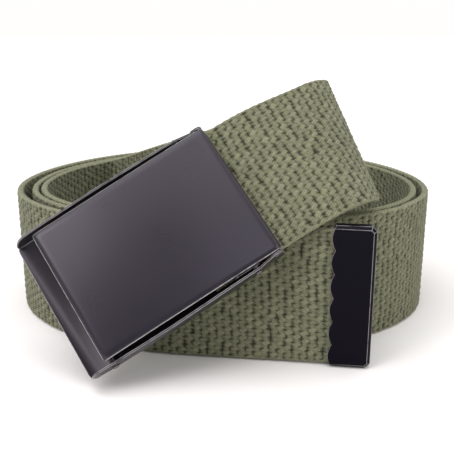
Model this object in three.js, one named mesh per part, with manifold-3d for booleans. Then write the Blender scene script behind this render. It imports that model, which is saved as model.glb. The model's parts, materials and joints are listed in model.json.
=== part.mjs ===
// Canvas web belt: the webbing rolled up on its edge, a flip-top box buckle and a crimped end tip.
// Millimetres, +Z up. The coil stands on z = 0 and the buckle lies before it, on the -Y side.
import * as THREE from "three";
import { mergeVertices } from "three/addons/utils/BufferGeometryUtils.js";
import Module from "manifold-3d";

const wasm = await Module();
wasm.setup();

// Webbing.
const strapWidth = 38;
const strapThick = 2.2;
const strapColumns = 6;

// Coil seen from above: a mean radius with two shallow bulges, wound inwards from the left bend.
const coilRadius = 64.2;
const coilBulges = [
  { lobes: 2, share: 0.067, atDegrees: 93 },
  { lobes: 3, share: 0.0239, atDegrees: 62.2 },
];
const firstGap = 2.6;
const lastGap = 0.5;
const freeStart = 8;
const coilEnd = 850;
const coilStep = 7.5;
const freeLength = 48.9;

// The buckle pushes the top edges of the front turns back, each inner turn by less.
const frontLean = 2.6;
const leanShare = 0.5;
const leanFrom = { x: 27, run: 15 };
const leanTo = { x: -36, run: 22 };

// The fold's lower edge pushes the inner turns outwards where it crosses them.
const crossLean = 1.1;
const crossAt = { x: 41.5, y: -31 };
const crossReach = 26;

// Rising run, fold and front run, on one general cylinder whose axis leans back and to the left.
const foldCentre = { x: 24.08, inFromFront: 21.408, z: 51.95 };
const foldAxisHeading = 121.9;
const foldAxisClimb = 51.16;
const risingHeading = -10.55;
const foldRadius = 12.04;
const foldTurn = 151.5;
const foldSkew = -11.66;
const frontBendRadius = 202;
const frontBendLength = 55;
const risingStart = -26;
const risingLeave = 0.4;
const risingArrive = 1.4;
const risingUpright = 0.2;
const backSlide = 1.4;
const backSlideRun = 12;
const backReturnRun = 26;
const frontBulge = 1.5;
const frontBlendStart = 8;
const freeRows = 8;
const risingRows = 16;
const foldRows = 26;
const heldRows = 4;

// End tip.
const tipLength = 11.4;
const tipOver = 0.8;
const tipSheet = 0.6;
const tipBevel = 0.9;
const tipNotches = 6;
const tipNotchDepth = 0.9;

// Buckle: where it lies, then its sizes.
const buckleAt = { x: -18.02, outFromFront: 2.832, z: 33.84 };
const buckleHeading = 12.53;
const buckleClimb = 30.57;
const buckleLean = 34.07;
const buckleAlong = 64.98;
const frameLength = 58.6;
const frameFlare = 0.6;
const frameSheet = 0.6;
const frameBow = 0.5;
const frameCorner = 2;
const wallTop = 3.9;
const earTop = 3.7;
const lipRise = 0.5;
const lipRun = 3;
const wallRise = 4.6;
const wallSlant = 1.2;
const eyeWall = 0.4;
const coverLength = 52.6;
const coverSheet = 1;
const coverTop = 4.9;
const coverCrown = 0.7;
const coverEdge = 1.3;
const coverFall = 0.7;
const coverCorner = 1;
const pinRadius = 0.7;
const pinProud = 0.2;
const strapInsert = 20;
const clampLength = 7;
const clampHeight = 1.5;
const clampTeeth = 4;
const clampTooth = 0.5;
const axleRadius = 0.7;
const axleInset = 8.3;
const barRadius = 0.9;
const barInset = 1.1;
const stub = 0.6;

// Clearances.
const restGap = 0.3;
const strapGap = 0.4;
const turnGap = 0.1;

const degrees = THREE.MathUtils.degToRad;
const up = new THREE.Vector3(0, 0, 1);
const sides = Array.from({ length: strapColumns + 1 }, (_, i) => strapWidth * (i / strapColumns - 0.5));
const webbing = new THREE.MeshStandardMaterial({ color: 0x878c67, roughness: 0.92, metalness: 0 });
const blackPaint = new THREE.MeshStandardMaterial({ color: 0x2b2a31, roughness: 0.42, metalness: 0.6 });
const blackGloss = new THREE.MeshStandardMaterial({ color: 0x1c1a24, roughness: 0.28, metalness: 0.5 });

function smooth(share) {
  const x = Math.min(1, Math.max(0, share));
  return x * x * (3 - 2 * x);
}

// Unit vector of a heading in the ground plane and a climb above it.
function pointing(heading, climb) {
  const flat = Math.cos(degrees(climb));
  return new THREE.Vector3(
    flat * Math.cos(degrees(heading)),
    flat * Math.sin(degrees(heading)),
    Math.sin(degrees(climb)),
  );
}

function place(origin, steps) {
  const point = origin.clone();
  for (const [vector, length] of steps) point.addScaledVector(vector, length);
  return point;
}

// How far the coil's outer face has moved inwards after some turns from the left bend.
function coilInset(turns) {
  if (turns < 0) return { depth: 0, slope: 0 };
  const first = strapThick + firstGap;
  const last = strapThick + lastGap;
  const bend = (last - first) / 2;
  return { depth: (first - bend) * turns + bend * turns * turns, slope: first - bend + 2 * bend * turns };
}

// A line of points up the webbing's width from its lower edge at a point of the coil. Its top edge leans
// back behind the buckle, and outwards under the fold.
function uprightLine({ at, outward }, turn) {
  const share = smooth((leanFrom.x - at.x) / leanFrom.run) * smooth((at.x - leanTo.x) / leanTo.run);
  const back = at.y < 0 ? frontLean * leanShare ** turn * share : 0;
  const away = Math.hypot(at.x - crossAt.x, at.y - crossAt.y) / crossReach;
  const out = turn > 0 ? crossLean * smooth(1 - away) : 0;
  const width = new THREE.Vector3(0, back, strapWidth).addScaledVector(outward, out).normalize();
  const foot = place(at, [[up, strapThick * Math.max(back, out) / strapWidth / 2]]);
  return sides.map((side) => place(foot, [[width, strapWidth / 2 + side]]));
}

// The foot of the coil's middle surface, its direction of travel and its outward side, at a turning
// angle that is 0 where the strap runs left along the front.
function coilPoint(angle) {
  const a = degrees(angle);
  const inset = coilInset((angle - 90) / 360);
  let reach = coilRadius - inset.depth - strapThick / 2;
  let slope = -inset.slope / (2 * Math.PI);
  for (const { lobes, share, atDegrees } of coilBulges) {
    const phase = lobes * (a - degrees(atDegrees));
    reach += coilRadius * share * Math.cos(phase);
    slope -= coilRadius * share * lobes * Math.sin(phase);
  }
  const outward = new THREE.Vector3(-Math.sin(a), -Math.cos(a), 0);
  const travel = new THREE.Vector3(-Math.cos(a), Math.sin(a), 0);
  const at = place(new THREE.Vector3(), [[outward, reach], [travel, slope]]);
  return { at, travel, outward };
}

// How far forward the coil's mean radius reaches where the strap runs left along the front.
const coilFront = coilBulges.reduce((reach, { lobes, share, atDegrees }) =>
  reach + coilRadius * share * Math.cos(lobes * degrees(atDegrees)), coilRadius);

// Axes of the fold: across is the profile's direction on the rising run, through points to the back.
const foldAxis = pointing(foldAxisHeading, foldAxisClimb);
const risingFlat = pointing(risingHeading, 0);
const across = risingFlat.clone();
across.addScaledVector(up, -foldAxis.dot(risingFlat) / foldAxis.z).normalize();
const through = foldAxis.clone().cross(across);
const foldOrigin = new THREE.Vector3(foldCentre.x, foldCentre.inFromFront - coilFront, foldCentre.z);

// The fold's profile at an arc length counted from its outermost point.
function foldProfile(length) {
  const back = -foldRadius * Math.PI / 2;
  const turn = degrees(foldTurn);
  const front = back + foldRadius * turn;
  if (length <= back) return { p: length - back, q: foldRadius };
  if (length <= front) {
    const angle = Math.PI / 2 - (length - back) / foldRadius;
    return { p: foldRadius * Math.cos(angle), q: foldRadius * Math.sin(angle) };
  }
  const p = foldRadius * Math.sin(turn);
  const q = foldRadius * Math.cos(turn);
  const bent = Math.min(length - front, frontBendLength);
  const heading = -turn - bent / frontBendRadius;
  const straight = length - front - bent;
  return {
    p: p - frontBendRadius * (Math.sin(heading) + Math.sin(turn)) + straight * Math.cos(heading),
    q: q + frontBendRadius * (Math.cos(heading) - Math.cos(turn)) + straight * Math.sin(heading),
  };
}

function foldPoint(along, side) {
  const skew = degrees(foldSkew);
  const { p, q } = foldProfile(along * Math.cos(skew) - side * Math.sin(skew));
  const returning = smooth(1 + (along + backSlideRun) / backReturnRun);
  const slide = backSlide * smooth(-along / backSlideRun) * returning;
  const rise = along * Math.sin(skew) + side * Math.cos(skew) + slide;
  return place(foldOrigin, [[across, p], [through, q], [foldAxis, rise]]);
}

// Axes of the buckle: x to the strap, y across it, z out of its face, with z = 0 in the webbing.
const buckleX = pointing(buckleHeading, buckleClimb);
const facing = buckleX.clone().cross(up).normalize();
const rising = facing.clone().cross(buckleX);
const buckleZ = place(new THREE.Vector3(), [
  [facing, Math.cos(degrees(buckleLean))],
  [rising, Math.sin(degrees(buckleLean))],
]);
const buckleY = buckleZ.clone().cross(buckleX);
const buckleOrigin = new THREE.Vector3(buckleAt.x, -coilFront - buckleAt.outFromFront, buckleAt.z);

function frontPoint(along, side) {
  const held = place(buckleOrigin, [[buckleX, buckleAlong - along], [buckleY, side]]);
  const run = buckleAlong - coverLength / 2;
  const share = (along - frontBlendStart) / (run - frontBlendStart);
  const low = 0.5 - side / strapWidth;
  const bulge = frontBulge * low * Math.sin(Math.PI * Math.min(1, Math.max(0, along / run))) ** 2;
  return place(foldPoint(along, side).lerp(held, smooth(share)), [[buckleZ, bulge]]);
}

// Rows of points across the strap, from the free end to the end held in the buckle.
function strapRows() {
  const rows = [];
  const free = coilPoint(freeStart);
  for (let i = 0; i < freeRows; i += 1) {
    const share = 1 - i / freeRows;
    const at = place(free.at, [[free.travel, -freeLength * share], [up, tipOver * share ** 2]]);
    rows.push(uprightLine({ at, outward: free.outward }, 0));
  }
  const coilRows = Math.round((coilEnd - freeStart) / coilStep);
  for (let i = 0; i <= coilRows; i += 1) {
    const angle = freeStart + (coilEnd - freeStart) * i / coilRows;
    rows.push(uprightLine(coilPoint(angle), Math.floor((angle + 45) / 360)));
  }
  const start = coilPoint(coilEnd);
  start.at.z += strapWidth / 2;
  const end = foldPoint(risingStart, 0);
  const endTravel = foldPoint(risingStart, 0).sub(foldPoint(risingStart - 1, 0)).normalize();
  const endWidth = foldPoint(risingStart, 1).sub(end).normalize();
  const leave = risingLeave * end.distanceTo(start.at);
  const arrive = risingArrive * end.distanceTo(start.at);
  for (let i = 1; i <= risingRows; i += 1) {
    const t = i / risingRows;
    const at = place(new THREE.Vector3(), [
      [start.at, (1 + 2 * t) * (1 - t) ** 2],
      [start.travel, leave * t * (1 - t) ** 2],
      [end, t * t * (3 - 2 * t)],
      [endTravel, arrive * t * t * (t - 1)],
    ]);
    const travel = place(new THREE.Vector3(), [
      [start.at, 6 * t * (t - 1)],
      [start.travel, leave * (1 - t) * (1 - 3 * t)],
      [end, 6 * t * (1 - t)],
      [endTravel, arrive * t * (3 * t - 2)],
    ]).normalize();
    const turned = smooth((t - risingUpright) / (1 - risingUpright));
    const width = up.clone().lerp(endWidth, turned);
    width.addScaledVector(travel, -turned * width.dot(travel)).normalize();
    rows.push(sides.map((side) => place(at, [[width, side]])));
  }
  const foldEnd = buckleAlong - coverLength / 2;
  for (let i = 1; i <= foldRows; i += 1) {
    const along = risingStart + (foldEnd - risingStart) * i / foldRows;
    rows.push(sides.map((side) => frontPoint(along, side)));
  }
  for (let i = 1; i <= heldRows; i += 1) {
    const along = foldEnd + strapInsert * i / heldRows;
    rows.push(sides.map((side) => frontPoint(along, side)));
  }
  return rows;
}

// A closed sheet of even thickness over rows of points.
function sheetGeometry(rows, thick) {
  const last = rows.length - 1;
  const edge = rows[0].length - 1;
  const faces = [[], []];
  for (let i = 0; i <= last; i += 1) {
    for (let j = 0; j <= edge; j += 1) {
      const along = rows[Math.min(i + 1, last)][j].clone().sub(rows[Math.max(i - 1, 0)][j]);
      const over = rows[i][Math.min(j + 1, edge)].clone().sub(rows[i][Math.max(j - 1, 0)]);
      const normal = over.cross(along).normalize();
      faces[0].push(place(rows[i][j], [[normal, thick / 2]]));
      faces[1].push(place(rows[i][j], [[normal, -thick / 2]]));
    }
  }
  const count = rows.length * (edge + 1);
  const index = [];
  const at = (face, i, j) => face * count + i * (edge + 1) + j;
  const quad = (a, b, c, d) => index.push(a, b, c, a, c, d);
  for (let i = 0; i < last; i += 1) {
    for (let j = 0; j < edge; j += 1) {
      quad(at(0, i, j), at(0, i, j + 1), at(0, i + 1, j + 1), at(0, i + 1, j));
      quad(at(1, i, j), at(1, i + 1, j), at(1, i + 1, j + 1), at(1, i, j + 1));
    }
    quad(at(0, i, 0), at(0, i + 1, 0), at(1, i + 1, 0), at(1, i, 0));
    quad(at(0, i, edge), at(1, i, edge), at(1, i + 1, edge), at(0, i + 1, edge));
  }
  for (let j = 0; j < edge; j += 1) {
    quad(at(0, 0, j), at(1, 0, j), at(1, 0, j + 1), at(0, 0, j + 1));
    quad(at(0, last, j), at(0, last, j + 1), at(1, last, j + 1), at(1, last, j));
  }
  const geometry = new THREE.BufferGeometry();
  const points = [...faces[0], ...faces[1]].flatMap((point) => [point.x, point.y, point.z]);
  geometry.setAttribute("position", new THREE.Float32BufferAttribute(points, 3));
  geometry.setIndex(index);
  return geometry;
}

// Booleans.
function toManifold(geometry) {
  const bare = geometry.clone();
  bare.deleteAttribute("normal");
  bare.deleteAttribute("uv");
  const merged = mergeVertices(bare, 1e-4);
  const mesh = new wasm.Mesh({
    numProp: 3,
    vertProperties: new Float32Array(merged.attributes.position.array),
    triVerts: new Uint32Array(merged.index.array),
  });
  mesh.merge();
  return new wasm.Manifold(mesh);
}

function fromManifold(manifold) {
  const mesh = manifold.getMesh();
  const geometry = new THREE.BufferGeometry();
  geometry.setAttribute("position", new THREE.Float32BufferAttribute(mesh.vertProperties, 3));
  geometry.setIndex(new THREE.Uint32BufferAttribute(mesh.triVerts, 1));
  return geometry;
}

// A flat outline in x and z, drawn out along y to both sides of the middle.
function acrossPrism(shape, width) {
  const geometry = new THREE.ExtrudeGeometry(shape, { depth: width, bevelEnabled: false, curveSegments: 8 });
  return geometry.rotateX(Math.PI / 2).translate(0, width / 2, 0);
}

// A flat outline in x and y, drawn up from one height to another.
function uprightPrism(shape, low, high) {
  const depth = high - low;
  const geometry = new THREE.ExtrudeGeometry(shape, { depth, bevelEnabled: false, curveSegments: 8 });
  return geometry.translate(0, 0, low);
}

function rod(radius, length, x, z, sides = 16) {
  return new THREE.CylinderGeometry(radius, radius, length, sides).translate(x, 0, z);
}

function finished(name, geometry, material) {
  const flat = geometry.index ? geometry.toNonIndexed() : geometry;
  flat.computeVertexNormals();
  const mesh = new THREE.Mesh(flat, material);
  mesh.name = name;
  return mesh;
}

// Widths, heights and places inside the buckle that several pieces share.
const hingeWidth = strapWidth + 2 * (frameSheet + strapGap);
const frameWidth = hingeWidth + 2 * frameFlare;
const coverWidth = hingeWidth - 2 * (frameSheet + restGap);
const halfCover = coverLength / 2;
const plateTop = -strapThick / 2 - strapGap;
const plateUnder = plateTop - frameSheet;
const barrelRadius = (coverTop - strapThick / 2 - restGap) / 2;
const hingeX = halfCover - barrelRadius;
const hingeZ = coverTop - barrelRadius;
const frameRight = hingeX + pinRadius + restGap + frameSheet;
const frameLeft = frameRight - frameLength;
const axleX = halfCover - axleInset;
const axleZ = strapThick / 2 + restGap + axleRadius;
const barX = -halfCover + barInset;
const barZ = plateTop + restGap + barRadius;
const eyeLeft = hingeX - barrelRadius;
const eyeTop = hingeZ + pinRadius + restGap + eyeWall;

// Plan outline of the frame, or of its hollow when inset by the sheet and run out at both ends.
function framePlan(inset, left, right, corner) {
  const half = frameWidth / 2 - inset;
  const hinge = hingeWidth / 2 - inset;
  const taper = axleX + axleRadius + restGap;
  const middle = (left + taper) / 2;
  const shape = new THREE.Shape();
  shape.moveTo(right, -hinge);
  shape.lineTo(right, hinge);
  shape.lineTo(eyeLeft, hinge);
  shape.lineTo(taper, half);
  shape.quadraticCurveTo(middle, half + 2 * frameBow, left + corner, half);
  shape.quadraticCurveTo(left, half, left, half - corner);
  shape.lineTo(left, -half + corner);
  shape.quadraticCurveTo(left, -half, left + corner, -half);
  shape.quadraticCurveTo(middle, -half - 2 * frameBow, taper, -half);
  shape.lineTo(eyeLeft, -hinge);
  return shape;
}

function frameGeometry() {
  const side = new THREE.Shape();
  const axleWall = axleRadius + restGap + eyeWall;
  side.moveTo(frameLeft, plateUnder);
  side.lineTo(frameLeft, plateTop + lipRise);
  side.quadraticCurveTo(frameLeft + wallRise * 0.35, wallTop, frameLeft + wallRise, wallTop);
  side.lineTo(axleX - axleWall - wallSlant, wallTop);
  side.lineTo(axleX - axleWall, earTop);
  side.lineTo(eyeLeft, earTop);
  side.quadraticCurveTo(eyeLeft, eyeTop, hingeX, eyeTop);
  side.quadraticCurveTo(frameRight, eyeTop, frameRight, hingeZ - pinRadius);
  side.lineTo(frameRight, plateUnder);
  const hollow = new THREE.Shape();
  hollow.moveTo(frameLeft + lipRun, plateTop);
  hollow.lineTo(frameLeft - frameSheet, plateTop + lipRise * (1 + frameSheet / lipRun));
  hollow.lineTo(frameLeft - frameSheet, coverTop + coverCrown);
  hollow.lineTo(frameRight + frameSheet, coverTop + coverCrown);
  hollow.lineTo(frameRight + frameSheet, plateTop);
  const wide = 2 * frameWidth;
  const body = toManifold(uprightPrism(framePlan(0, frameLeft, frameRight, frameCorner), plateUnder, eyeTop))
    .intersect(toManifold(acrossPrism(side, wide)));
  const inside = framePlan(frameSheet, frameLeft - frameSheet, frameRight + frameSheet, frameSheet);
  const space = toManifold(uprightPrism(inside, plateTop, 2 * coverTop))
    .intersect(toManifold(acrossPrism(hollow, wide)));
  return fromManifold(
    body
      .subtract(space)
      .subtract(toManifold(rod(pinRadius + restGap, wide, hingeX, hingeZ)))
      .subtract(toManifold(rod(axleRadius + restGap, wide, axleX, axleZ)))
      .subtract(toManifold(rod(barRadius + restGap, wide, barX, barZ))),
  );
}

// The cover's face: a shallow crown that turns down along its edges.
function coverHeight(x, y) {
  const half = coverWidth / 2;
  const crown = coverCrown * (1 - (y / half) ** 2) * (1 - Math.max(0, -x / halfCover) ** 4);
  const edge = Math.min(half - Math.abs(y), x + halfCover);
  const fall = Math.max(0, 1 - edge / coverEdge);
  return coverTop + crown * Math.min(1, (hingeX - x) / halfCover) - coverFall * fall ** 2;
}

function coverGeometry() {
  const half = coverWidth / 2;
  const bands = [0, 0.35, 0.8];
  const grid = (low, high, inner, mirror) => {
    const places = bands.map((share) => low + share * coverEdge);
    for (let i = 0; i <= inner; i += 1) {
      const from = low + coverEdge;
      const to = mirror ? high - coverEdge : high;
      places.push(from + (to - from) * i / inner);
    }
    if (mirror) places.push(...bands.toReversed().map((share) => high - share * coverEdge));
    return places;
  };
  const rows = grid(-halfCover, hingeX, 10, false).map((x) =>
    grid(-half, half, 8, true).map((y) => new THREE.Vector3(x, y, coverHeight(x, y))));
  const plate = toManifold(dropped(rows, coverSheet));
  const barrel = toManifold(rod(barrelRadius, coverWidth, hingeX, hingeZ, 24));
  const outline = new THREE.Shape();
  outline.moveTo(halfCover, -half);
  outline.lineTo(halfCover, half);
  outline.lineTo(-halfCover + coverCorner, half);
  outline.quadraticCurveTo(-halfCover, half, -halfCover, half - coverCorner);
  outline.lineTo(-halfCover, -half + coverCorner);
  outline.quadraticCurveTo(-halfCover, -half, -halfCover + coverCorner, -half);
  return fromManifold(
    plate
      .add(barrel)
      .intersect(toManifold(uprightPrism(outline, plateUnder, 2 * coverTop)))
      .subtract(toManifold(rod(pinRadius + turnGap, 2 * coverWidth, hingeX, hingeZ))),
  );
}

// A closed plate under rows of points, straight down by its thickness.
function dropped(rows, thick) {
  const middle = rows.map((row) => row.map((point) => place(point, [[up, -thick / 2]])));
  const geometry = sheetGeometry(middle, thick);
  const position = geometry.attributes.position;
  const count = position.count / 2;
  rows.flat().forEach((point, i) => {
    const flip = position.getZ(i) > position.getZ(i + count) ? 0 : count;
    position.setXYZ(i + flip, point.x, point.y, point.z);
    position.setXYZ(i + count - flip, point.x, point.y, point.z - thick);
  });
  return geometry;
}

function hingePinGeometry() {
  return rod(pinRadius, hingeWidth + 2 * pinProud, hingeX, hingeZ);
}

// The toothed bar over the strap's held end, on its own axle.
function clampGeometry() {
  const low = strapThick / 2 + restGap;
  const right = axleX + axleRadius + restGap;
  const left = right - clampLength;
  const shape = new THREE.Shape();
  shape.moveTo(right, low + clampHeight);
  shape.lineTo(left + clampHeight / 2, low + clampHeight);
  shape.lineTo(left, low + clampHeight / 2);
  const pitch = (clampLength - clampTooth) / clampTeeth;
  for (let i = 0; i < clampTeeth; i += 1) {
    shape.lineTo(left + pitch * (i + 0.25), low);
    shape.lineTo(left + pitch * (i + 1), low + clampTooth);
  }
  shape.lineTo(right, low + clampTooth);
  const width = frameWidth - 2 * frameSheet - 2 * strapGap - 2 * restGap;
  const axle = toManifold(rod(axleRadius, frameWidth + 2 * stub, axleX, axleZ));
  return fromManifold(toManifold(acrossPrism(shape, width)).add(axle));
}

function frontBarGeometry() {
  return rod(barRadius, frameWidth + 2 * stub, barX, barZ);
}

// The folded cap: x along the strap, y up its width, z out of its face, drawn from the strap's end.
function tipGeometry() {
  const height = strapWidth + 2 * tipOver;
  const thick = strapThick + 2 * restGap + 2 * tipSheet;
  const right = restGap + tipSheet;
  const left = right - tipLength;
  const inner = tipBevel;
  const shape = new THREE.Shape();
  const low = -height / 2 + inner;
  const high = height / 2 - inner;
  shape.moveTo(right - inner, low);
  shape.lineTo(right - inner, high);
  const steps = tipNotches * 6;
  for (let i = 0; i <= steps; i += 1) {
    const wave = Math.abs(Math.sin(Math.PI * tipNotches * i / steps));
    shape.lineTo(left + inner + tipNotchDepth * (1 - wave), high - (high - low) * i / steps);
  }
  const body = new THREE.ExtrudeGeometry(shape, {
    depth: thick - 2 * tipSheet,
    bevelThickness: tipSheet,
    bevelSize: inner,
    bevelSegments: 2,
    curveSegments: 1,
  });
  body.translate(0, 0, -thick / 2 + tipSheet);
  const slot = new THREE.BoxGeometry(tipLength * 2, strapWidth + 2 * restGap, strapThick + 2 * restGap);
  slot.translate(restGap - tipLength, 0, 0);
  return fromManifold(toManifold(body).subtract(toManifold(slot)));
}

// Assembly.
const belt = new THREE.Group();
belt.add(finished("strap", sheetGeometry(strapRows(), strapThick), webbing));

const tipSeat = coilPoint(freeStart);
const tip = finished("end_tip", tipGeometry(), blackGloss);
const tipOut = tipSeat.travel.clone().negate();
tip.matrixAutoUpdate = false;
tip.matrix.makeBasis(tipOut, up, tipSeat.outward);
tip.matrix.setPosition(place(tipSeat.at, [[tipSeat.travel, -freeLength], [up, tipOver + strapWidth / 2]]));
tip.matrix.decompose(tip.position, tip.quaternion, tip.scale);
belt.add(tip);

const buckle = new THREE.Group();
buckle.quaternion.setFromRotationMatrix(new THREE.Matrix4().makeBasis(buckleX, buckleY, buckleZ));
buckle.position.copy(buckleOrigin);
buckle.add(finished("buckle_frame", frameGeometry(), blackPaint));
buckle.add(finished("buckle_cover", coverGeometry(), blackPaint));
buckle.add(finished("hinge_pin", hingePinGeometry(), blackPaint));
buckle.add(finished("strap_clamp", clampGeometry(), blackPaint));
buckle.add(finished("front_bar", frontBarGeometry(), blackPaint));
belt.add(buckle);

// The origin is under the middle of the whole belt.
belt.updateMatrixWorld(true);
const box = new THREE.Box3().setFromObject(belt, true);
const middle = box.getCenter(new THREE.Vector3());
belt.position.set(-middle.x, -middle.y, -box.min.z);

export default belt;
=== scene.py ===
"""Looks of the canvas web belt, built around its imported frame."""
import json
import math

import bmesh
import bpy
import numpy as np
from bpy.props import FloatProperty, FloatVectorProperty, IntProperty, PointerProperty
from mathutils import Matrix, Vector

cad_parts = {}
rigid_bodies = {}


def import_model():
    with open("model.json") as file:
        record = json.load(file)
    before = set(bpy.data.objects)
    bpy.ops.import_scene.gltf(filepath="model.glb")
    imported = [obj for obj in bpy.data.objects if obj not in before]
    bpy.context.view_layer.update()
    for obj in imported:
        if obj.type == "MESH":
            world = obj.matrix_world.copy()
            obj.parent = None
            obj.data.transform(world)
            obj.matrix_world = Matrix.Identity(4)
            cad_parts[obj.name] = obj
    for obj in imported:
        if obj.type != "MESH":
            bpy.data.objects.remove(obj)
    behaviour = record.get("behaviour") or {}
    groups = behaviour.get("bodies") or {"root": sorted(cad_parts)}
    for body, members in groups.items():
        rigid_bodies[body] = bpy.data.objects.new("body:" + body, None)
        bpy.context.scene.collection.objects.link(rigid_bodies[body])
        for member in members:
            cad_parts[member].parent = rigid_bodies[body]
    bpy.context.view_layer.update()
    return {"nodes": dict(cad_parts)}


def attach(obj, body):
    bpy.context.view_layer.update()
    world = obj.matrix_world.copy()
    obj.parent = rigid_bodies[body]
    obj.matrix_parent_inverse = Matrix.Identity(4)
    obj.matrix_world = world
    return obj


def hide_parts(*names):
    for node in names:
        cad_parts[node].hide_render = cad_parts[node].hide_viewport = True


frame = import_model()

bl_info = {
    "name": "Canvas Web Belt",
    "version": (1, 0, 0),
    "blender": (4, 5, 0),
    "location": "View3D > Sidebar > Web Belt",
    "description": "Woven webbing, end tip, flip-top buckle and a pale stage for the web belt",
    "category": "Object",
}

# Metres in a millimetre, the solids' shift to the frame, and the slack of a comparison in metres.
MM = 0.001
CENTRE = Vector((1.5104522705, 9.6341311361, 0)) * MM
SLACK = 1e-6

# Coil seen from above. Sizes are in millimetres and angles in degrees, here and below. A bulge has
# its lobes, its share of the radius and its heading.
COIL_RADIUS = 64.2
COIL_BULGES = ((2, 0.067, 93), (3, 0.0239, 62.2))
FIRST_GAP = 2.6
LAST_GAP = 0.5
FREE_START = 8
FREE_LENGTH = 48.9
COIL_END = 850
TIP_OVER = 0.8

# Leaning of the standing webbing: behind the buckle, less on each further turn, and under the fold.
FRONT_LEAN = 2.6
LEAN_KEPT = 0.5
LEAN_LEFT, LEAN_LEFT_FADE = -36, 22
LEAN_RIGHT, LEAN_RIGHT_FADE = 27, 15
CROSS_LEAN = 1.1
CROSS_AT = (41.5, -31)
CROSS_REACH = 26

# Fold and buckle, as the solids have them.
FOLD_CENTRE = Vector((24.08, -36.99, 51.95))
FOLD_HEADING = (121.9, 51.16)
RISING_HEADING = -10.55
FOLD_RADIUS = 12.04
FOLD_TURN = 151.5
FOLD_SKEW = -11.66
FRONT_BEND = (202, 55)
RISING_START = -26
RISING_TURN_FROM = 0.2
LEAVING_PULL, ARRIVING_PULL = 0.4, 1.4
BACK_SLIDE = 1.4
BACK_SLIDE_IN, BACK_SLIDE_OUT = 12, 26
FRONT_BULGE = 1.5
HELD_FROM = 8
BUCKLE_AT = Vector((-18.02, -61.23, 33.84))
BUCKLE_POINTING = (12.53, 30.57)
BUCKLE_LEAN = 34.07
BUCKLE_ALONG = 64.98
STRAP_INSERT = 20

# Tip, cover and hinge.
TIP_LENGTH = 11.4
TIP_RIGHT = 0.9
TIP_HEIGHT = 39.6
TIP_THICK = 4.0
TIP_CUTS = 47
COVER_LENGTH = 52.6
COVER_WIDTH = 38.2
COVER_TOP = 4.9
COVER_CROWN = 0.7
COVER_CROWN_SHAPE = 0.85
COVER_CROWN_FALL = 0.7
COVER_GRID = (44, 34)
COVER_CROWDING = 1.35
FLANGE_DEPTH = 0.5
FLANGE_ABOVE = 4.2
HINGE = Vector((24.55, 0, 3.15))
BARREL_TURN = 288
BARREL_STEPS = 18

# Depth and width of the roll at the cover's sides and at its free end.
SIDE_ROLL, SIDE_ROLL_WIDTH = 0.3, 1.5
END_ROLL, END_ROLL_WIDTH = 0.5, 1.8

# Lines of points in the webbing's stretches, in their order from the free end.
FREE_LINES = 40
COIL_LINES = 560
RISING_LINES = 80
FRONT_LINES = 130
HELD_LINES = 20

# Weave, in shares of the repeat along, of the row across and of the relief in height.
FLOAT_NUDGE = 0.05
ROW_DRIFT = 0.028
FLOAT_REACH = 0.285
FLOAT_SPREAD = 0.66
LOWEST_CROWN = 0.72
BRIDGE_HEIGHT = 0.58

# Slant of a float, power that shapes its crown, and strands in a row and in a repeat.
FLOAT_SLANT = 0.17
CROWN_SHAPE = 0.55
STRANDS_ACROSS, STRANDS_ALONG = 1.6, 3.2

# Reach of a bridge between floats, crowns over the thickness, and half the weft's loops at the rim.
BRIDGE_REACH = 0.95
CROWN_OVER = 0.04
LOOP_DEPTH = 0.07

# Shares of the thickness that the two outer columns keep.
RIM_KEPT, NEXT_KEPT = 0.45, 0.86

# Stage, in metres. A lamp has its width, place and tone, and its power is a setting.
LAMPS = {
    "key": (0.9, (-0.2, -0.25, 1.0), (1.0, 1.0, 1.0)),
    "fill": (0.6, (0.75, -0.55, 0.42), (1.0, 0.97, 0.9)),
    "side": (0.3, (-0.5, -0.44, 0.44), (1.0, 0.96, 0.98)),
    "front": (0.22, (0.02, -0.66, 0.46), (0.9, 0.9, 1.0)),
}
LAMP_AIM = Vector((0, 0, 0.03))
FLOOR_SIZE = 6
FLOOR_DROP = 0.0002


def smooth(share):
    """0 below a share of 0, 1 above 1, and an even rise between."""
    x = min(1, max(0, share))
    return x * x * (3 - 2 * x)


def pointing(heading, climb):
    """Direction from its heading and its climb, in degrees."""
    flat = math.cos(math.radians(climb))
    turn = math.radians(heading)
    return Vector((flat * math.cos(turn), flat * math.sin(turn), math.sin(math.radians(climb))))


UP = Vector((0, 0, 1))
BUCKLE_X = pointing(*BUCKLE_POINTING)
FACING = BUCKLE_X.cross(UP).normalized()
BUCKLE_Z = (
    FACING * math.cos(math.radians(BUCKLE_LEAN))
    + FACING.cross(BUCKLE_X) * math.sin(math.radians(BUCKLE_LEAN))
)
BUCKLE_Y = BUCKLE_Z.cross(BUCKLE_X)
FOLD_AXIS = pointing(*FOLD_HEADING)
RISING_FLAT = pointing(RISING_HEADING, 0)
FOLD_ACROSS = (RISING_FLAT - UP * (FOLD_AXIS.dot(RISING_FLAT) / FOLD_AXIS.z)).normalized()
FOLD_THROUGH = FOLD_AXIS.cross(FOLD_ACROSS)


# The webbing's middle surface.
def coil_point(angle, thick):
    """Foot of the webbing at a turning angle, with its direction of travel and its outward side."""
    a = math.radians(angle)
    turns = max(0, (angle - 90) / 360)
    bend = (LAST_GAP - FIRST_GAP) / 2
    first = thick + FIRST_GAP
    reach = COIL_RADIUS - (first - bend) * turns - bend * turns * turns - thick / 2
    slope = -(first - bend + 2 * bend * turns) / (2 * math.pi) if angle >= 90 else 0
    for lobes, share, at in COIL_BULGES:
        phase = lobes * (a - math.radians(at))
        reach += COIL_RADIUS * share * math.cos(phase)
        slope -= COIL_RADIUS * share * lobes * math.sin(phase)
    outward = Vector((-math.sin(a), -math.cos(a), 0))
    travel = Vector((-math.cos(a), math.sin(a), 0))
    return outward * reach + travel * slope, travel, outward


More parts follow.
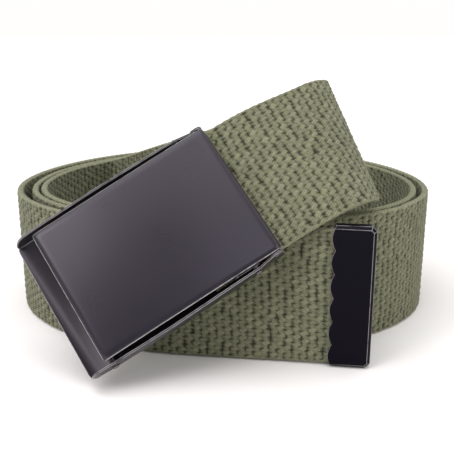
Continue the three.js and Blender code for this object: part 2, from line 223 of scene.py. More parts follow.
def upright_line(at, outward, turn, sides, width, thick):
    """Points up the webbing's width, leaning back behind the buckle and outwards under the fold."""
    share = smooth((LEAN_RIGHT - at.x) / LEAN_RIGHT_FADE)
    share *= smooth((at.x - LEAN_LEFT) / LEAN_LEFT_FADE)
    back = FRONT_LEAN * LEAN_KEPT**turn * share if at.y < 0 else 0
    away = math.hypot(at.x - CROSS_AT[0], at.y - CROSS_AT[1]) / CROSS_REACH
    out = CROSS_LEAN * smooth(1 - away) if turn > 0 else 0
    rise = (Vector((0, back, width)) + outward * out).normalized()
    foot = at + UP * (thick * max(back, out) / width / 2)
    return [foot + rise * (width / 2 + side) for side in sides]


def fold_profile(length):
    """Section through the fold and the bent front run, at a length from the fold's middle."""
    back = -FOLD_RADIUS * math.pi / 2
    turn = math.radians(FOLD_TURN)
    front = back + FOLD_RADIUS * turn
    if length <= back:
        return length - back, FOLD_RADIUS
    if length <= front:
        angle = math.pi / 2 - (length - back) / FOLD_RADIUS
        return FOLD_RADIUS * math.cos(angle), FOLD_RADIUS * math.sin(angle)
    radius, reach = FRONT_BEND
    bent = min(length - front, reach)
    straight = length - front - bent
    heading = -turn - bent / radius
    p = FOLD_RADIUS * math.sin(turn) - radius * (math.sin(heading) + math.sin(turn))
    q = FOLD_RADIUS * math.cos(turn) + radius * (math.cos(heading) - math.cos(turn))
    return p + straight * math.cos(heading), q + straight * math.sin(heading)


def fold_point(along, side):
    """Point of the webbing at the skewed fold, from the length along it and the side."""
    skew = math.radians(FOLD_SKEW)
    p, q = fold_profile(along * math.cos(skew) - side * math.sin(skew))
    fade = smooth(1 + (along + BACK_SLIDE_IN) / BACK_SLIDE_OUT)
    slide = BACK_SLIDE * smooth(-along / BACK_SLIDE_IN) * fade
    rise = along * math.sin(skew) + side * math.cos(skew) + slide
    return FOLD_CENTRE + FOLD_ACROSS * p + FOLD_THROUGH * q + FOLD_AXIS * rise


def front_point(along, side, width):
    """Point of the run that leaves the fold and ends flat in the buckle."""
    held = BUCKLE_AT + BUCKLE_X * (BUCKLE_ALONG - along) + BUCKLE_Y * side
    run = BUCKLE_ALONG - COVER_LENGTH / 2
    low = 0.5 - side / width
    bulge = FRONT_BULGE * low * math.sin(math.pi * min(1, max(0, along / run))) ** 2
    share = smooth((along - HELD_FROM) / (run - HELD_FROM))
    return fold_point(along, side).lerp(held, share) + BUCKLE_Z * bulge


def rising_lines(sides, count, thick, width):
    """Lines of points from the inner end of the coil up to the fold."""
    foot, leaving, _ = coil_point(COIL_END, thick)
    start = foot + UP * (width / 2)
    end = fold_point(RISING_START, 0)
    arriving = (end - fold_point(RISING_START - 1, 0)).normalized()
    end_width = (fold_point(RISING_START, 1) - end).normalized()
    reach = (end - start).length
    lines = []
    for i in range(1, count + 1):
        t = i / count
        at = (
            start * ((1 + 2 * t) * (1 - t) ** 2)
            + leaving * (LEAVING_PULL * reach * t * (1 - t) ** 2)
            + end * (t * t * (3 - 2 * t))
            + arriving * (ARRIVING_PULL * reach * t * t * (t - 1))
        )
        travel = (
            start * (6 * t * (t - 1))
            + leaving * (LEAVING_PULL * reach * (1 - t) * (1 - 3 * t))
            + end * (6 * t * (1 - t))
            + arriving * (ARRIVING_PULL * reach * t * (3 * t - 2))
        ).normalized()
        turned = smooth((t - RISING_TURN_FROM) / (1 - RISING_TURN_FROM))
        rise = UP.lerp(end_width, turned)
        rise = (rise - travel * (turned * rise.dot(travel))).normalized()
        lines.append([at + rise * side for side in sides])
    return lines


def webbing_lines(width, thick, columns=12):
    """Lines of points across the webbing, from its free end to the end held in the buckle."""
    sides = [width * (j / columns - 0.5) for j in range(columns + 1)]
    at, travel, outward = coil_point(FREE_START, thick)
    lines = []
    for i in range(FREE_LINES):
        share = 1 - i / FREE_LINES
        foot = at - travel * (FREE_LENGTH * share) + UP * (TIP_OVER * share**2)
        lines.append(upright_line(foot, outward, 0, sides, width, thick))
    for i in range(COIL_LINES + 1):
        angle = FREE_START + (COIL_END - FREE_START) * i / COIL_LINES
        foot, _, outward = coil_point(angle, thick)
        turn = math.floor((angle + 45) / 360)
        lines.append(upright_line(foot, outward, turn, sides, width, thick))
    lines += rising_lines(sides, RISING_LINES, thick, width)
    end = BUCKLE_ALONG - COVER_LENGTH / 2
    for i in range(1, FRONT_LINES + 1):
        along = RISING_START + (end - RISING_START) * i / FRONT_LINES
        lines.append([front_point(along, side, width) for side in sides])
    for i in range(1, HELD_LINES + 1):
        along = end + STRAP_INSERT * i / HELD_LINES
        lines.append([front_point(along, side, width) for side in sides])
    return np.array([[tuple(point + CENTRE / MM) for point in line] for line in lines])


def even_lines(lines, step):
    """The same surface with its lines one even step of length apart."""
    middle = lines[:, lines.shape[1] // 2]
    run = np.concatenate([[0], np.cumsum(np.linalg.norm(np.diff(middle, axis=0), axis=1))])
    count = int(run[-1] / step)
    places = np.linspace(0, run[-1], count + 1)
    even = np.empty((count + 1,) + lines.shape[1:])
    for j in range(lines.shape[1]):
        for axis in range(3):
            even[:, j, axis] = np.interp(places, run, lines[:, j, axis])
    return even, places


def spread_across(lines, shares):
    """The same surface with new columns, at shares of the way across."""
    old = np.linspace(0, 1, lines.shape[1])
    spot = np.clip(np.searchsorted(old, shares) - 1, 0, len(old) - 2)
    part = (shares - old[spot]) / (old[spot + 1] - old[spot])
    return lines[:, spot] * (1 - part)[None, :, None] + lines[:, spot + 1] * part[None, :, None]


def unit(vectors):
    return vectors / np.linalg.norm(vectors, axis=-1, keepdims=True)


def weave_relief(places, across, look, shift, chance):
    """Height from 0 to 1, and dye, over a grid. Each warp yarn floats and dives in turn."""
    long, tall = look.repeat / MM, look.row_height() / MM
    along = places[:, None] + shift * long + 0 * across[None, :]
    across = across[None, :] + 0 * along
    own = np.clip(np.floor(across / tall), 0, look.rows - 1).astype(int)
    spare = 5
    cells = int(along.max() / long) + spare
    size = chance.random((cells, look.rows))
    dyes = chance.random((cells, look.rows))
    nudge = chance.normal(0, FLOAT_NUDGE, (cells, look.rows))
    drift = chance.normal(0, ROW_DRIFT, look.rows).cumsum()
    height = np.zeros(along.shape)
    dye = np.full(along.shape, 0.5)
    for step in (0, -1, 1):
        row = own + step
        real = (row >= 0) & (row < look.rows)
        row = np.clip(row, 0, look.rows - 1)
        phase = (along / long + 0.5 * (row % 2) + drift[row]).clip(0)
        cell = np.floor(phase).astype(int)
        ds = (phase - cell - 0.5 + nudge[cell, row]) * long
        dv = across - (row + 0.5) * tall
        slant = dv + FLOAT_SLANT * ds
        oval = 1 - (ds / (FLOAT_REACH * long)) ** 2 - (slant / (FLOAT_SPREAD * tall)) ** 2
        crown = LOWEST_CROWN + (1 - LOWEST_CROWN) * size[cell, row]
        crown = crown * oval.clip(0) ** CROWN_SHAPE
        higher = real & (crown > height)
        height = np.where(higher, crown, height)
        dye = np.where(higher, dyes[cell, row], dye)
        if step == 0:
            under = (0.5 - np.abs(phase - cell - 0.5)) * long
            bridge = 1 - (under / BRIDGE_REACH) ** 2 - (dv / (FLOAT_SPREAD * tall)) ** 2
            height = np.maximum(height, BRIDGE_HEIGHT * bridge.clip(0) ** 0.5)
    return height, dye


class Signal:
    """A shader socket in sums and products."""

    def __init__(self, board, socket):
        self.board = board
        self.socket = socket

    def maths(self, operation, *values):
        numbers = {i: value for i, value in enumerate(values)}
        return self.board.add("ShaderNodeMath", {"operation": operation}, numbers).out(0)

    def __add__(self, other):
        return self.maths("ADD", self, other)

    def __sub__(self, other):
        return self.maths("SUBTRACT", self, other)

    def __rsub__(self, other):
        return self.maths("SUBTRACT", other, self)

    def __mul__(self, other):
        return self.maths("MULTIPLY", self, other)

    def sine(self):
        return self.maths("SINE", self)

    def clear_of(self, low, high):
        """0 below low and 1 above high."""
        values = {0: self, 1: low, 2: high}
        return self.board.add("ShaderNodeMapRange", {"clamp": True}, values).out(0)


class Made:
    """A node just added, for its outputs."""

    def __init__(self, board, node):
        self.board = board
        self.node = node

    def out(self, key):
        return Signal(self.board, self.node.outputs[key])


class Board:
    """The emptied node tree of a material or a world, with one way to add a node."""

    def __init__(self, owner):
        self.owner = owner
        self.tree = owner.node_tree
        self.tree.nodes.clear()

    def add(self, kind, settings=None, values=None):
        node = self.tree.nodes.new(kind)
        for key, value in (settings or {}).items():
            setattr(node, key, value)
        for key, value in (values or {}).items():
            if isinstance(value, Signal):
                self.tree.links.new(value.socket, node.inputs[key])
            else:
                node.inputs[key].default_value = value
        return Made(self, node)

    def mix(self, share, first, second):
        values = {0: share, 6: first, 7: second}
        return self.add("ShaderNodeMix", {"data_type": "RGBA"}, values).out(2)

    def noise(self, vector, scale, detail=3.0, rough=0.5):
        values = {"Vector": vector, "Scale": scale, "Detail": detail, "Roughness": rough}
        return self.add("ShaderNodeTexNoise", None, values).out(0)

    def stretched(self, vector, scale):
        values = {0: vector, 1: scale}
        return self.add("ShaderNodeVectorMath", {"operation": "MULTIPLY"}, values).out(0)

    def split(self, vector):
        parts = self.add("ShaderNodeSeparateXYZ", None, {0: vector})
        return [parts.out(i) for i in range(3)]

    def objects(self):
        return self.add("ShaderNodeTexCoord").out("Object")

    def finish(self, values):
        shader = self.add("ShaderNodeBsdfPrincipled", None, values)
        self.add("ShaderNodeOutputMaterial", None, {"Surface": shader.out(0)})
        return self.owner


def new_board(name):
    material = bpy.data.materials.new(name)
    material.use_nodes = True
    return Board(material)


def colour(value):
    return (value[0], value[1], value[2], 1)


def webbing_material(look):
    """Cotton yarns: strands twisted in each bump with a painted highlight along them, painted shade
    in the creases and an uneven dye.
    """
    board = new_board("webbing")
    place = board.add("ShaderNodeAttribute", {"attribute_name": "run"}).out("Vector")
    weave = board.add("ShaderNodeAttribute", {"attribute_name": "weave"}).out("Vector")
    rise, dye = board.split(weave)[:2]
    along, across = board.split(place)[:2]
    cloud = board.noise(place, 45.0, 2.0)
    drawn = board.stretched(place, (1.0, 2.5, 1.0))
    fibre = board.noise(drawn, 1500.0, 3.0, 0.7).clear_of(0.3, 0.7)
    twist = across * (2 * math.pi * STRANDS_ACROSS / look.row_height())
    twist = twist + along * (2 * math.pi * STRANDS_ALONG / look.repeat)
    # The strands are real relief in the bump, and in the colour below they are a painted highlight
    # along the twist.
    strands = (twist + fibre * 2.0).sine()
    light = dye * 0.25 + cloud * 0.2 + fibre * 0.5 + strands * 0.12
    yarn = board.mix(light, colour(look.yarn_dark), colour(look.yarn_light))
    # Painted shade in the creases: the crease colour where the relief is low, fading out as it
    # rises.
    painted_crease_light = rise.clear_of(look.crease_shade_from, look.crease_shade_to)
    tint = board.mix(painted_crease_light, colour(look.crease_shade_colour), yarn)
    height = strands * 0.4 + fibre * 0.7 + rise * 0.6
    relief = board.add(
        "ShaderNodeBump", None, {"Strength": 0.7, "Distance": 0.00022, "Height": height}
    ).out(0)
    return board.finish(
        {
            "Base Color": tint,
            "Roughness": 0.93,
            "Specular IOR Level": 0.18,
            "Sheen Weight": 0.12,
            "Sheen Roughness": 0.5,
            "Normal": relief,
        }
    )


def paint_material(name, base, rough, shine, grain, edge_highlight_colour):
    """Black paint on sheet steel: a faint grain, cloudy changes of gloss and a painted highlight in
    patches along the edges.
    """
    board = new_board(name)
    place = board.objects()
    cloud = board.noise(place, 60.0, 2.0)
    speck = board.noise(place, 5200.0, 2.0, 0.6)
    edge = board.add("ShaderNodeAttribute", {"attribute_name": "edge"}).out("Fac")
    # Painted highlight on the edges, broken into patches by noise; the same mask makes them a
    # little glossier.
    edge_highlight_mask = edge * board.noise(place, 420.0, 3.0).clear_of(0.25, 0.5)
    tint = board.mix(cloud, colour([c * 0.9 for c in base]), colour([c * 1.1 for c in base]))
    tint = board.mix(edge_highlight_mask, tint, colour(edge_highlight_colour))
    gloss = cloud * 0.06 + speck * 0.05 + (rough - 0.055) - edge_highlight_mask * 0.05
    relief = board.add(
        "ShaderNodeBump", None, {"Strength": grain, "Distance": 0.00001, "Height": speck}
    ).out(0)
    return board.finish(
        {
            "Base Color": tint,
            "Roughness": gloss,
            "Specular IOR Level": shine,
            "Specular Tint": (0.97, 0.9, 1.0, 1),
            "Normal": relief,
        }
    )


def floor_material(look):
    """A pale floor with a painted glow that is nil near the belt and grows away from it, so that it
    has no horizon.
    """
    board = new_board("pale_floor")
    place = board.objects()
    cloud = board.noise(place, 3.0, 2.0)
    base = look.floor_colour
    tint = board.mix(cloud, colour([c * 0.985 for c in base]), colour(base))
    across, back = board.split(place)[:2]
    away = (across * across + back * back).clear_of(0.015, 0.35)
    glow = board.mix(away, colour((0.0, 0.0, 0.0)), colour((0.45, 0.45, 0.45)))
    return board.finish(
        {
            "Base Color": tint,
            "Roughness": 0.7,
            "Specular IOR Level": 0.25,
            "Emission Color": glow,
            "Emission Strength": 1.0,
        }
    )


# Settings a user would change.
class WebbingLook(bpy.types.PropertyGroup):
    """Sizes and colours of the webbing."""

    width: FloatProperty(
        name="Width", description="Webbing from edge to edge", default=0.038, unit="LENGTH"
    )
    thickness: FloatProperty(
        name="Thickness", description="Webbing over its crowns", default=0.0022, unit="LENGTH"
    )
    rows: IntProperty(
        name="Rows", description="Rows of warp yarns across the webbing", default=34, min=4
    )
    repeat: FloatProperty(
        name="Repeat", description="Length of four picks of the weave",
        default=0.00426, unit="LENGTH",
    )
    relief: FloatProperty(
        name="Relief", description="Depth of the pits", default=0.00045, unit="LENGTH"
    )
    # The painted shade in the creases is darkest at the pit height and gone above the clear height.
    crease_shade_from: FloatProperty(
        name="Pit Height", description="Share of the relief that is darkest",
        default=0.0, min=0.0, max=1.0, subtype="FACTOR",
    )
    crease_shade_to: FloatProperty(
        name="Clear Height", description="Share of the relief above which it is fully lit",
        default=0.62, min=0.0, max=1.0, subtype="FACTOR",
    )
    yarn_light: FloatVectorProperty(
        name="Light Yarn", description="Lightest dye",
        default=(0.328, 0.336, 0.215), subtype="COLOR",
    )
    yarn_dark: FloatVectorProperty(
        name="Dark Yarn", description="Darkest dye", default=(0.1, 0.106, 0.062), subtype="COLOR"
    )
    # Painted shade in the creases between the bumps.
    crease_shade_colour: FloatVectorProperty(
        name="Creases", description="Colour between bumps",
        default=(0.022, 0.024, 0.013), subtype="COLOR",
    )

    def row_height(self):
        return self.width / self.rows


class MetalLook(bpy.types.PropertyGroup):
    """Colours and gloss of the painted metal."""

    cover_colour: FloatVectorProperty(
        name="Cover", description="Paint of the cover",
        default=(0.017, 0.0145, 0.021), subtype="COLOR",
    )
    frame_colour: FloatVectorProperty(
        name="Frame", description="Paint of the frame",
        default=(0.016, 0.014, 0.018), subtype="COLOR",
    )
    tip_colour: FloatVectorProperty(
        name="Tip", description="Paint of the end tip",
        default=(0.004, 0.0035, 0.007), subtype="COLOR",
    )
    tip_sheet: FloatProperty(
        name="Tip Sheet", description="Thickness of the tip's sheet", default=0.0006, unit="LENGTH"
    )
    tip_bevel: FloatProperty(
        name="Tip Bevel", description="Width of the tip's bevels", default=0.00085, unit="LENGTH"
    )
    tip_corner: FloatProperty(
        name="Tip Corner", description="Cut of the tip's outer corners",
        default=0.0012, unit="LENGTH",
    )
    tip_notches: IntProperty(
        name="Tip Notches", description="Notches along the crimp", default=6, min=1
    )
    tip_notch: FloatProperty(
        name="Notch Depth", description="Depth of the crimp's notches",
        default=0.0009, unit="LENGTH",
    )
    # Painted highlight along the sheet's rounded edges.
    edge_highlight_colour: FloatVectorProperty(
        name="Edges", description="Rubbed paint on the edges",
        default=(0.42, 0.41, 0.42), subtype="COLOR",
    )
    cover_sheet: FloatProperty(
        name="Cover Sheet", description="Thickness of the cover's sheet",
        default=0.00075, unit="LENGTH",
    )
    edge_round: FloatProperty(
        name="Edge Rounding", description="Radius of the sheet's edges",
        default=0.00016, unit="LENGTH",
    )


class StageLook(bpy.types.PropertyGroup):
    """Floor, light and camera."""

    floor_colour: FloatVectorProperty(
        name="Floor", description="Colour of the floor", default=(0.9, 0.885, 0.88), subtype="COLOR"
    )
    sky: FloatProperty(name="Sky", description="Strength overhead", default=1.15)
    front_share: FloatProperty(
        name="Front Share", description="Share of the surround on the camera's side",
        default=0.06, min=0.0, max=1.0, subtype="FACTOR",
    )
    horizon: FloatProperty(name="Horizon", description="Strength low down", default=0.45)
    key: FloatProperty(
        name="Key Light", description="Power of the main light", default=6.0, unit="POWER"
    )
    side: FloatProperty(
        name="Side Light", description="Power of the left light", default=1.8, unit="POWER"
    )
    fill: FloatProperty(
        name="Fill Light", description="Power of the right light", default=2.8, unit="POWER"
    )
    front: FloatProperty(
        name="Front Light", description="Power of the front light", default=0.42, unit="POWER"
    )
    camera_distance: FloatProperty(
        name="Camera Distance", description="Camera before the origin",
        default=0.230155, unit="LENGTH",
    )
    camera_height: FloatProperty(
        name="Camera Height", description="Camera above the floor", default=0.09094, unit="LENGTH"
    )
    camera_pitch: FloatProperty(
        name="Camera Pitch", description="Tilt of the camera below level",
        default=0.28505, unit="ROTATION",
    )
    camera_angle: FloatProperty(
        name="Camera Angle", description="Angle of view from side to side",
        default=0.61070, unit="ROTATION",
    )


def clear_selection():
    bpy.ops.object.select_all(action="DESELECT")


def in_place(obj, body, node, material):
    """Gives a finished piece its material and body, and hides the solid that it stands for."""
    obj.data.materials.append(material)
    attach(obj, body)
    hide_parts(node)


def level(edge, axes):
    """True where the edge's two ends agree along each of the axes."""
    first, second = (end.co for end in edge.verts)
    return all(abs(getattr(first, axis) - getattr(second, axis)) < SLACK for axis in axes)


def choose_edges(obj, wanted):
    """Selects the wanted edges of a mesh in edit mode."""
    bpy.ops.mesh.select_all(action="DESELECT")
    block = bmesh.from_edit_mesh(obj.data)
    for edge in block.edges:
        edge.select_set(bool(wanted(edge)))
    bmesh.update_edit_mesh(obj.data)


def sheet_wall(obj, thickness):
    """Gives an open sheet its thickness, on its inner side."""
    wall = obj.modifiers.new("sheet", "SOLIDIFY")
    wall.thickness = thickness
    wall.offset = -1
    bpy.ops.object.modifier_apply(modifier=wall.name)


def make_active(obj):
    clear_selection()
    obj.select_set(True)
    bpy.context.view_layer.objects.active = obj


def round_edges(obj, width, segments=2, angle=35):
    """Rounds the sharp edges, marks them for the paint's painted edge highlight and smooths the
    faces.
    """
    make_active(obj)
    mesh = obj.data
    mesh.materials.clear()
    for _ in range(2):
        mesh.materials.append(None)
    bevel = obj.modifiers.new("edges", "BEVEL")
    bevel.width = width
    bevel.segments = segments
    bevel.use_clamp_overlap = False
    bevel.limit_method = "ANGLE"
    bevel.angle_limit = math.radians(angle)
    bevel.material = 1
    bpy.ops.object.modifier_apply(modifier=bevel.name)
    mesh = obj.data
    # Vertices of the bevels, which get the painted edge highlight.
    edge_highlight_mask = np.ones(len(mesh.vertices), np.float32)
    for face in mesh.polygons:
        if face.material_index == 0:
            edge_highlight_mask[list(face.vertices)] = 0
        face.material_index = 0
    layer = mesh.attributes.new("edge", "FLOAT", "POINT")
    layer.data.foreach_set("value", edge_highlight_mask)
    mesh.materials.clear()
    bpy.ops.object.shade_smooth_by_angle(angle=math.radians(40))


def rounded_copy(node, name, width):
    """A copy of a solid with its flat faces joined up and its sheet edges rounded."""
    merge, flat = 0.00003, math.radians(1.5)
    source = frame["nodes"][node]
    obj = bpy.data.objects.new(name, source.data.copy())
    bpy.context.scene.collection.objects.link(obj)
    make_active(obj)
    bpy.ops.object.mode_set(mode="EDIT")
    bpy.ops.mesh.select_all(action="SELECT")
    bpy.ops.mesh.remove_doubles(threshold=merge)
    bpy.ops.mesh.dissolve_limited(angle_limit=flat)
    bpy.ops.mesh.customdata_custom_splitnormals_clear()
    bpy.ops.object.mode_set(mode="OBJECT")
    round_edges(obj, width)
    return obj


def cover_height(x, y):
    """Height of the cover's face over the webbing's middle: a crown with rolled edges."""
    share = (x + COVER_LENGTH / 2) / (HINGE.x + COVER_LENGTH / 2)
    crown = COVER_CROWN * math.sin(math.pi * share) ** COVER_CROWN_SHAPE
    crown *= 1 - COVER_CROWN_FALL * (2 * y / COVER_WIDTH) ** 2
    side = COVER_WIDTH / 2 - abs(y)
    end = x + COVER_LENGTH / 2
    roll = SIDE_ROLL * max(0, 1 - side / SIDE_ROLL_WIDTH) ** 2
    roll += END_ROLL * max(0, 1 - end / END_ROLL_WIDTH) ** 2
    return COVER_TOP + crown - roll


def buckle_place():
    """Matrix from the buckle's own axes, in metres, to the belt's frame."""
    turn = Matrix((BUCKLE_X, BUCKLE_Y, BUCKLE_Z)).transposed().to_4x4()
    return Matrix.Translation(BUCKLE_AT * MM + CENTRE) @ turn


class BELT_OT_webbing(bpy.types.Operator):
    """Weaves the webbing in five lengths"""

    bl_idname = "belt.webbing"
    bl_label = "Weave Webbing"

    lengths = 5
    seed = 7
    lines_per_repeat = 8
    columns_per_row = 3

    def execute(self, context):
        look = context.scene.belt_webbing
        width, thick = look.width / MM, look.thickness / MM
        step = look.repeat / MM / self.lines_per_repeat
        even, places = even_lines(webbing_lines(width, thick), step)
        columns = look.rows * self.columns_per_row + 1
        shares = np.linspace(0, 1, columns)
        middle = spread_across(even, shares)
        along = np.gradient(middle, axis=0)
        over = np.gradient(middle, axis=1)
        normal = unit(np.cross(over, along))
        count = len(middle)
        chance = np.random.default_rng(self.seed)
        deep = look.relief / MM
        reliefs = [weave_relief(places, shares * width, look, shift, chance) for shift in (0, 0.5)]
        edge = np.minimum(np.arange(columns), np.arange(columns)[::-1])
        kept = np.where(edge == 0, RIM_KEPT, np.where(edge == 1, NEXT_KEPT, 1.0))[None, :]
        loops = (LOOP_DEPTH * (1 - np.cos(np.arange(count) * math.pi / 2)))[:, None]
        inward = unit(over) * np.where(edge == 0, 1, 0)[None, :, None] * loops[:, :, None]
        inward[:, columns // 2 :] *= -1
        faces = []
        for sign, (rise, _) in zip((1, -1), reliefs):
            half = (thick / 2 + CROWN_OVER - deep * (1 - rise)) * kept
            faces.append(middle + inward + normal * (sign * half)[:, :, None])
        ring = np.concatenate([faces[0], faces[1][:, ::-1]], axis=1)
        around = np.roll(ring, -1, axis=1) - np.roll(ring, 1, axis=1)
        shade = unit(np.cross(around, np.gradient(ring, axis=0)))
        run = np.zeros(ring.shape)
        run[:, :, 0] = places[:, None] * MM
        run[:, :columns, 1] = shares * look.width
        run[:, columns:, 1] = shares[::-1] * look.width
        run[:, columns:, 2] = 1
        weave = np.zeros(ring.shape)
        # The two outer columns are raised to where the painted crease shade ends, so the rims carry
        # none of it.
        rim = np.where(edge < 2, look.crease_shade_to, 0)[None, :]
        for i in range(2):
            values = [np.maximum(relief[i], rim) for relief in reliefs]
            weave[:, :, i] = np.concatenate([values[0], values[1][:, ::-1]], axis=1)
        material = webbing_material(look)
        pick = self.lines_per_repeat // 2
        cuts = [round(count * i / self.lengths / pick) * pick for i in range(self.lengths)]
        cuts.append(count - 1)
        for number, (first, last) in enumerate(zip(cuts, cuts[1:])):
            part = slice(first, last + 1)
            name = f"webbing_{number + 1}"
            obj = self.length(name, ring[part] * MM, shade[part], run[part], weave[part])
            in_place(obj, "belt", "strap", material)
        return {"FINISHED"}

    def length(self, name, ring, shade, run, weave):
        """One closed length of webbing from its rings of points."""
        lines, around = ring.shape[:2]
        spot = np.arange(lines * around).reshape(lines, around)
        turned = np.roll(spot, -1, axis=1)
        sides = np.stack([spot[:-1], turned[:-1], turned[1:], spot[1:]], axis=-1).reshape(-1, 4)
        half = around // 2
        back = spot[:, ::-1]
        ends = []
        for line, flip in ((0, False), (lines - 1, True)):
            front, rear = spot[line, :half], back[line, :half]
            cap = np.stack([front[:-1], rear[:-1], rear[1:], front[1:]], axis=-1)
            ends.append(cap[:, ::-1] if flip else cap)
        quads = np.concatenate([sides] + ends)
        mesh = bpy.data.meshes.new(name)
        mesh.from_pydata(ring.reshape(-1, 3), [], quads.tolist())
        mesh.update()
        mesh.shade_smooth()
        mesh.normals_split_custom_set_from_vertices(shade.reshape(-1, 3).tolist())
        for key, values in (("run", run), ("weave", weave)):
            layer = mesh.attributes.new(key, "FLOAT_VECTOR", "POINT")
            layer.data.foreach_set("vector", values.reshape(-1).astype(np.float32))
        obj = bpy.data.objects.new(name, mesh)
        bpy.context.scene.collection.objects.link(obj)
        return obj


class BELT_OT_tip(bpy.types.Operator):
    """Adds the crimped end tip"""

    bl_idname = "belt.tip"
    bl_label = "Add End Tip"

    def execute(self, context):
        look = context.scene.belt_metal
        # The tip's painted edge highlight, a quarter darker.
        edge_highlight_colour = [c * 0.75 for c in look.edge_highlight_colour]
        paint = paint_material("tip_paint", look.tip_colour, 0.2, 0.06, 0.15, edge_highlight_colour)
        clear_selection()
        bpy.ops.mesh.primitive_cube_add(size=1, location=(0, 0, 0))
        obj = context.object
        obj.name = obj.data.name = "crimped_tip"
        left, right = (TIP_RIGHT - TIP_LENGTH) * MM, TIP_RIGHT * MM
        for vertex in obj.data.vertices:
            x = right if vertex.co.x > 0 else left
            vertex.co = Vector((x, vertex.co.y * TIP_HEIGHT * MM, vertex.co.z * TIP_THICK * MM))
        bpy.ops.object.mode_set(mode="EDIT")
        bpy.ops.mesh.select_mode(type="EDGE")
        choose_edges(obj, lambda edge: edge.verts[0].co.x > 0 and level(edge, "xy"))
        bpy.ops.mesh.bevel(offset=look.tip_corner, segments=1, affect="EDGES")
        choose_edges(obj, self.runs_up)
        bpy.ops.mesh.subdivide(number_cuts=TIP_CUTS)
        self.open_side(obj, left)
        choose_edges(obj, self.folds)
        bpy.ops.mesh.bevel(offset=look.tip_bevel, segments=1, affect="EDGES")
        bpy.ops.object.mode_set(mode="OBJECT")
        for vertex in obj.data.vertices:
            if vertex.co.x < left + SLACK:
                turn = math.pi * look.tip_notches * (0.5 - vertex.co.y / (TIP_HEIGHT * MM))
                vertex.co.x += look.tip_notch * (1 - abs(math.sin(turn)))
        sheet_wall(obj, look.tip_sheet)
        round_edges(obj, look.edge_round * 0.9, angle=20)
        webbing = context.scene.belt_webbing
        foot, travel, outward = coil_point(FREE_START, webbing.thickness / MM)
        turn = Matrix((-travel, UP, outward)).transposed().to_4x4()
        middle = foot - travel * FREE_LENGTH + UP * (TIP_OVER + webbing.width / MM / 2)
        obj.data.transform(Matrix.Translation(middle * MM + CENTRE) @ turn)
        in_place(obj, "belt", "end_tip", paint)
        return {"FINISHED"}

    @staticmethod
    def runs_up(edge):
        """True of an edge along the tip's height."""
        return edge.is_manifold and level(edge, "xz") and not level(edge, "y")

    @staticmethod
    def folds(edge):
        """True of a sharp edge round either face of the tip."""
        return edge.is_manifold and edge.calc_face_angle() > 0.5 and level(edge, "z")

    def open_side(self, obj, left):
        """Takes away the faces where the webbing goes in."""
        bpy.ops.mesh.select_all(action="DESELECT")
        bpy.ops.mesh.select_mode(type="FACE")
        block = bmesh.from_edit_mesh(obj.data)
        for face in block.faces:
            face.select_set(face.calc_center_median().x < left + SLACK)
        bmesh.update_edit_mesh(obj.data)
        bpy.ops.mesh.delete(type="FACE")
        bpy.ops.mesh.select_mode(type="EDGE")


class BELT_OT_buckle(bpy.types.Operator):
    """Adds the buckle's frame, pin, clamp and bar"""

    bl_idname = "belt.buckle"
    bl_label = "Add Buckle Frame"

    def execute(self, context):
        look = context.scene.belt_metal
        paint = paint_material("frame_paint", look.frame_colour, 0.3, 0.5, 0.2, look.edge_highlight_colour)
        for node, name in (
            ("buckle_frame", "frame_sheet"),
            ("hinge_pin", "hinge_rod"),
            ("strap_clamp", "toothed_clamp"),
            ("front_bar", "front_rod"),
        ):
            obj = rounded_copy(node, name, look.edge_round * 1.25)
            in_place(obj, "belt", node, paint)
        return {"FINISHED"}


class BELT_OT_cover(bpy.types.Operator):
    """Adds the buckle's flip-top cover"""

    bl_idname = "belt.cover"
    bl_label = "Add Cover"

    def execute(self, context):
        look = context.scene.belt_metal
        paint = paint_material("cover_paint", look.cover_colour, 0.29, 0.5, 0.25, look.edge_highlight_colour)
        clear_selection()
        wide, tall = COVER_GRID
        bpy.ops.mesh.primitive_grid_add(
            x_subdivisions=wide, y_subdivisions=tall, size=1, location=(0, 0, 0)
        )
        obj = context.object
        obj.name = obj.data.name = "cover_sheet"
        left, right = -COVER_LENGTH / 2, HINGE.x
        for vertex in obj.data.vertices:
            x = left + (right - left) * (vertex.co.x + 0.5) ** COVER_CROWDING
            y = COVER_WIDTH / 2 * (math.sin(math.pi * vertex.co.y) / 2 + vertex.co.y)
            vertex.co = Vector((x, y, cover_height(x, y))) * MM
        bpy.ops.object.mode_set(mode="EDIT")
        self.roll_barrel(obj, right * MM)
        self.turn_down(obj, right * MM)
        bpy.ops.object.mode_set(mode="OBJECT")
        sheet_wall(obj, look.cover_sheet)
        round_edges(obj, look.edge_round * 1.5, 3)
        obj.data.transform(buckle_place())
        in_place(obj, "cover", "buckle_cover", paint)
        return {"FINISHED"}

    def choose_rim(self, obj, wanted):
        """Selects the open edges whose two ends are wanted."""
        bpy.ops.mesh.select_mode(type="EDGE")
        choose_edges(
            obj, lambda edge: edge.is_boundary and all(wanted(end.co) for end in edge.verts)
        )

    def roll_barrel(self, obj, right):
        """Rolls the sheet round the hinge pin."""
        self.choose_rim(obj, lambda co: abs(co.x - right) < SLACK)
        bpy.ops.mesh.spin(
            steps=BARREL_STEPS,
            angle=math.radians(BARREL_TURN),
            center=HINGE * MM,
            axis=(0, -1, 0),
            use_auto_merge=False,
        )

    def turn_down(self, obj, right):
        """Turns a narrow flange down along the three free edges."""
        side = COVER_WIDTH / 2 * MM - SLACK
        left = -COVER_LENGTH / 2 * MM + SLACK

        def free(co):
            on_face = co.x < right + SLACK and co.z > FLANGE_ABOVE * MM
            return on_face and (abs(co.y) > side or co.x < left)

        self.choose_rim(obj, free)
        down = {"value": (0, 0, -FLANGE_DEPTH * MM)}
        bpy.ops.mesh.extrude_region_move(TRANSFORM_OT_translate=down)


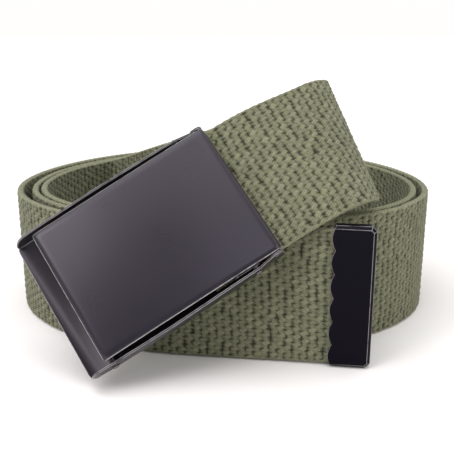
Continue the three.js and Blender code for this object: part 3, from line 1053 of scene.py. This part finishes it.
class BELT_OT_stage(bpy.types.Operator):
    """Sets up the camera, the pale floor and the soft lights"""

    bl_idname = "belt.stage"
    bl_label = "Set Up Stage"

    def execute(self, context):
        look = context.scene.belt_stage
        self.camera(context, look)
        clear_selection()
        bpy.ops.mesh.primitive_grid_add(
            x_subdivisions=4, y_subdivisions=4, size=FLOOR_SIZE, location=(0, 0, 0)
        )
        floor = context.object
        floor.name = "floor"
        floor.data.transform(Matrix.Translation((0, 0, -FLOOR_DROP)))
        floor.data.materials.append(floor_material(look))
        context.scene.view_settings.view_transform = "Standard"
        self.surround(context, look)
        for name, (size, at, tone) in LAMPS.items():
            self.lamp(name, getattr(look, name), size, at, tone)
        return {"FINISHED"}

    def surround(self, context, look):
        """A tent that is bright above and dim at the horizon, seen as plain white."""
        world = bpy.data.worlds.new("surround")
        world.use_nodes = True
        context.scene.world = world
        board = Board(world)
        _, back, height = board.split(board.objects())
        light = height.clear_of(-0.05, 0.75) * (look.sky - look.horizon) + look.horizon
        light = light * (back.clear_of(-0.9, 0.1) * (1 - look.front_share) + look.front_share)
        seen = board.add("ShaderNodeLightPath").out("Is Camera Ray")
        strength = seen + (1 - seen) * light
        shell = board.add(
            "ShaderNodeBackground", None, {"Color": (1.0, 0.992, 0.985, 1), "Strength": strength}
        )
        board.add("ShaderNodeOutputWorld", None, {"Surface": shell.out(0)})

    def camera(self, context, look):
        eye = bpy.data.objects.new("camera", bpy.data.cameras.new("camera"))
        context.scene.collection.objects.link(eye)
        eye.location = (CENTRE.x, -look.camera_distance, look.camera_height)
        eye.rotation_euler = (math.pi / 2 - look.camera_pitch, 0, 0)
        eye.data.sensor_fit = "HORIZONTAL"
        eye.data.angle = look.camera_angle
        eye.data.clip_start = 0.01
        context.scene.camera = eye

    def lamp(self, name, power, size, at, tone):
        light = bpy.data.lights.new(name, "AREA")
        light.energy = power
        light.color = tone
        light.size = size
        obj = bpy.data.objects.new(name, light)
        obj.location = at
        aim = LAMP_AIM - Vector(at)
        obj.rotation_euler = aim.to_track_quat("-Z", "Y").to_euler()
        bpy.context.scene.collection.objects.link(obj)


class BELT_PT_panel(bpy.types.Panel):
    """Buttons that build the stage and the belt's pieces"""

    bl_idname = "BELT_PT_panel"
    bl_label = "Web Belt"
    bl_space_type = "VIEW_3D"
    bl_region_type = "UI"
    bl_category = "Web Belt"

    def draw(self, context):
        for operator in STEPS:
            self.layout.operator(operator.bl_idname)


STEPS = (BELT_OT_stage, BELT_OT_webbing, BELT_OT_tip, BELT_OT_buckle, BELT_OT_cover)
LOOKS = (WebbingLook, MetalLook, StageLook)
CLASSES = LOOKS + STEPS + (BELT_PT_panel,)


def register():
    for item in CLASSES:
        bpy.utils.register_class(item)
    bpy.types.Scene.belt_webbing = PointerProperty(type=WebbingLook)
    bpy.types.Scene.belt_metal = PointerProperty(type=MetalLook)
    bpy.types.Scene.belt_stage = PointerProperty(type=StageLook)


def unregister():
    del bpy.types.Scene.belt_stage
    del bpy.types.Scene.belt_metal
    del bpy.types.Scene.belt_webbing
    for item in reversed(CLASSES):
        bpy.utils.unregister_class(item)


def main():
    register()
    bpy.ops.belt.stage()
    bpy.ops.belt.webbing()
    bpy.ops.belt.tip()
    bpy.ops.belt.buckle()
    bpy.ops.belt.cover()


if __name__ == "__main__":
    main()
